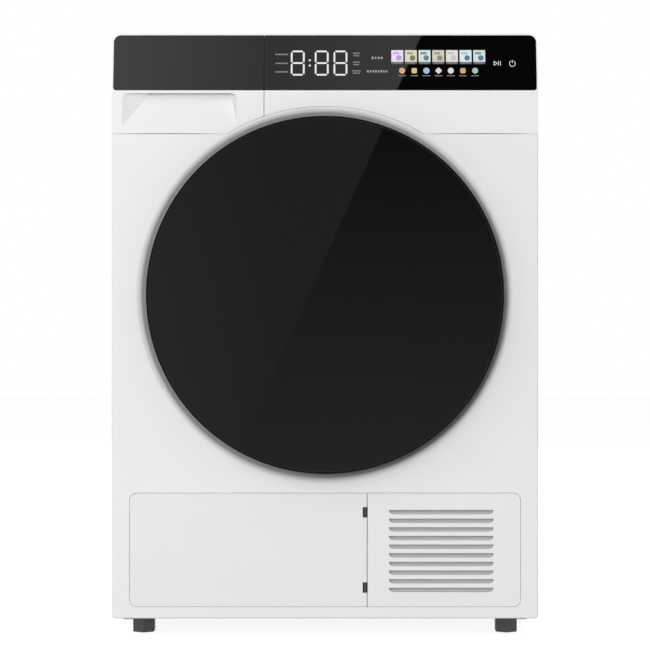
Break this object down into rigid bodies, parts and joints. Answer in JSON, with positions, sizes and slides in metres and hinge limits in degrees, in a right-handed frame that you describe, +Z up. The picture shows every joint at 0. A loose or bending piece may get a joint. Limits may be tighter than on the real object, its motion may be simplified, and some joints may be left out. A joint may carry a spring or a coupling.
{
  "type": "tumble dryer",
  "caption": "Free-standing heat-pump tumble dryer with a round side-hinged door, water tank drawer, filter flap, louvred grille, belt-driven drum and levelling feet.",
  "frame": {"origin": "on the floor under the middle of the bounding box", "axes": "+Z up, the front with the door faces -Y, +X to the right seen from the front"},
  "size_m": [0.595, 0.645, 0.845],
  "materials": {
    "white_enamel": "smooth semi-gloss enamel",
    "white_plastic": "fine satin moulding",
    "black_glass": "polished, black printed behind",
    "window_glass": "clear pressed glass",
    "black_plastic": "satin black",
    "grey_plastic": "fine grained",
    "dark_plastic": "plain moulded",
    "tank_plastic": "milky blow moulding",
    "circuit_board": "solder mask",
    "drum_steel": "brushed stainless",
    "zinc_sheet": "galvanised sheet",
    "screw_steel": "zinc plated",
    "rubber": "black rubber",
    "seal_rubber": "grey rubber",
    "felt": "wool felt",
    "filter_foam": "open foam in a frame",
    "filter_mesh": "fine woven mesh",
    "fin_aluminium": "bare fin stock",
    "copper_pipe": "drawn copper",
    "black_paint": "black enamel",
    "motor_case": "die cast",
    "bush_bronze": "sintered bronze"
  },
  "bodies": {
    "cabinet": {"front_panel": "white_enamel", "control_fascia": "white_plastic", "control_glass": "black_glass", "control_board": "circuit_board", "tank_tray": "grey_plastic", "side_panel_left": "white_enamel", "side_panel_right": "white_enamel", "top_panel": "white_plastic", "base_tray": "dark_plastic", "hinge_bracket": "zinc_sheet", "hinge_pin": "drum_steel", "door_lock": "dark_plastic", "door_seal": "seal_rubber", "flap_hinge_pins": "drum_steel", "air_grille": "white_plastic", "front_bulkhead": "grey_plastic", "drum_felt": "felt", "rear_bush": "bush_bronze", "bearing_bracket": "zinc_sheet", "roller_axles": "drum_steel", "motor": "motor_case", "fan_housing": "dark_plastic", "drive_belt": "rubber", "evaporator": "fin_aluminium", "condenser": "fin_aluminium", "exchanger_cover": "dark_plastic", "exchanger_filter": "filter_foam", "compressor": "black_paint", "refrigerant_pipes": "copper_pipe", "condensate_pump": "dark_plastic", "condensate_hose": "rubber", "rear_panel": "zinc_sheet", "rear_duct_cover": "zinc_sheet", "cord_gland": "rubber", "rear_screws": "screw_steel"},
    "door": {"door_glass": "black_glass", "door_frame": "black_plastic", "door_liner": "grey_plastic", "door_window": "window_glass", "hinge_leaf": "zinc_sheet", "door_hook": "dark_plastic"},
    "tank_drawer": {"drawer_front": "white_plastic", "drawer_glass": "black_glass", "water_tank": "tank_plastic"},
    "filter_flap": {"filter_flap": "white_plastic"},
    "lint_filter": {"lint_filter": "grey_plastic", "lint_mesh": "filter_mesh"},
    "drum": {"drum": "drum_steel", "drum_lifters": "grey_plastic", "drum_shaft": "drum_steel"},
    "rotor": {"rotor_shaft": "drum_steel", "fan_wheel": "dark_plastic"},
    "support_roller_left": {"support_roller_left": "rubber"},
    "support_roller_right": {"support_roller_right": "rubber"},
    "idler_arm": {"idler_arm": "zinc_sheet"},
    "idler_pulley": {"idler_pulley": "dark_plastic"},
    "foot_front_left": {"foot_front_left": "dark_plastic"},
    "foot_front_right": {"foot_front_right": "dark_plastic"},
    "foot_rear_left": {"foot_rear_left": "dark_plastic"},
    "foot_rear_right": {"foot_rear_right": "dark_plastic"}
  },
  "joints": [
    {"name": "door_hinge", "type": "hinge", "parent": "cabinet", "child": "door", "pos_m": [0.232, -0.3005, 0.478], "axis": [0, 0, 1], "range_deg": [0, 135]},
    {"name": "tank_drawer_slide", "type": "slide", "parent": "cabinet", "child": "tank_drawer", "axis": [0, -1, 0], "range_m": [0, 0.4]},
    {"name": "filter_flap_hinge", "type": "hinge", "parent": "cabinet", "child": "filter_flap", "pos_m": [0.05633, -0.2776, 0.12285], "axis": [0, 0, 1], "range_deg": [0, 90]},
    {"name": "lint_filter_slide", "type": "slide", "parent": "cabinet", "child": "lint_filter", "axis": [0, 0, -1], "range_m": [-0.11, 0]},
    {"name": "drum_spin", "type": "hinge", "parent": "cabinet", "child": "drum", "pos_m": [0, 0, 0.478], "axis": [0, 1, 0], "continuous": true},
    {"name": "rotor_spin", "type": "hinge", "parent": "cabinet", "child": "rotor", "pos_m": [0.14, 0.05, 0.10685], "axis": [0, 1, 0], "continuous": true},
    {"name": "support_roller_left_spin", "type": "hinge", "parent": "cabinet", "child": "support_roller_left", "pos_m": [-0.17574, -0.1405, 0.22701], "axis": [0, 1, 0], "continuous": true},
    {"name": "support_roller_right_spin", "type": "hinge", "parent": "cabinet", "child": "support_roller_right", "pos_m": [0.17574, -0.1405, 0.22701], "axis": [0, 1, 0], "continuous": true},
    {"name": "idler_arm_pivot", "type": "hinge", "parent": "cabinet", "child": "idler_arm", "pos_m": [0.062, 0.058, 0.0737], "axis": [0, -1, 0], "range_deg": [0, 20], "stiffness_Nm_per_rad": 1.5, "springref_deg": -11.46},
    {"name": "idler_pulley_spin", "type": "hinge", "parent": "idler_arm", "child": "idler_pulley", "pos_m": [0.03244, 0.05, 0.14496], "axis": [0, 1, 0], "continuous": true},
    {"name": "foot_front_left_screw", "type": "slide", "parent": "cabinet", "child": "foot_front_left", "axis": [0, 0, -1], "range_m": [0, 0.012]},
    {"name": "foot_front_right_screw", "type": "slide", "parent": "cabinet", "child": "foot_front_right", "axis": [0, 0, -1], "range_m": [0, 0.012]},
    {"name": "foot_rear_left_screw", "type": "slide", "parent": "cabinet", "child": "foot_rear_left", "axis": [0, 0, -1], "range_m": [0, 0.012]},
    {"name": "foot_rear_right_screw", "type": "slide", "parent": "cabinet", "child": "foot_rear_right", "axis": [0, 0, -1], "range_m": [0, 0.012]}
  ],
  "couplings": [
    {"joint": "rotor_spin", "follows": "drum_spin", "ratio": 40.571},
    {"joint": "support_roller_left_spin", "follows": "drum_spin", "ratio": -12.909},
    {"joint": "support_roller_right_spin", "follows": "drum_spin", "ratio": -12.909},
    {"joint": "idler_pulley_spin", "follows": "drum_spin", "ratio": -17.75}
  ]
}
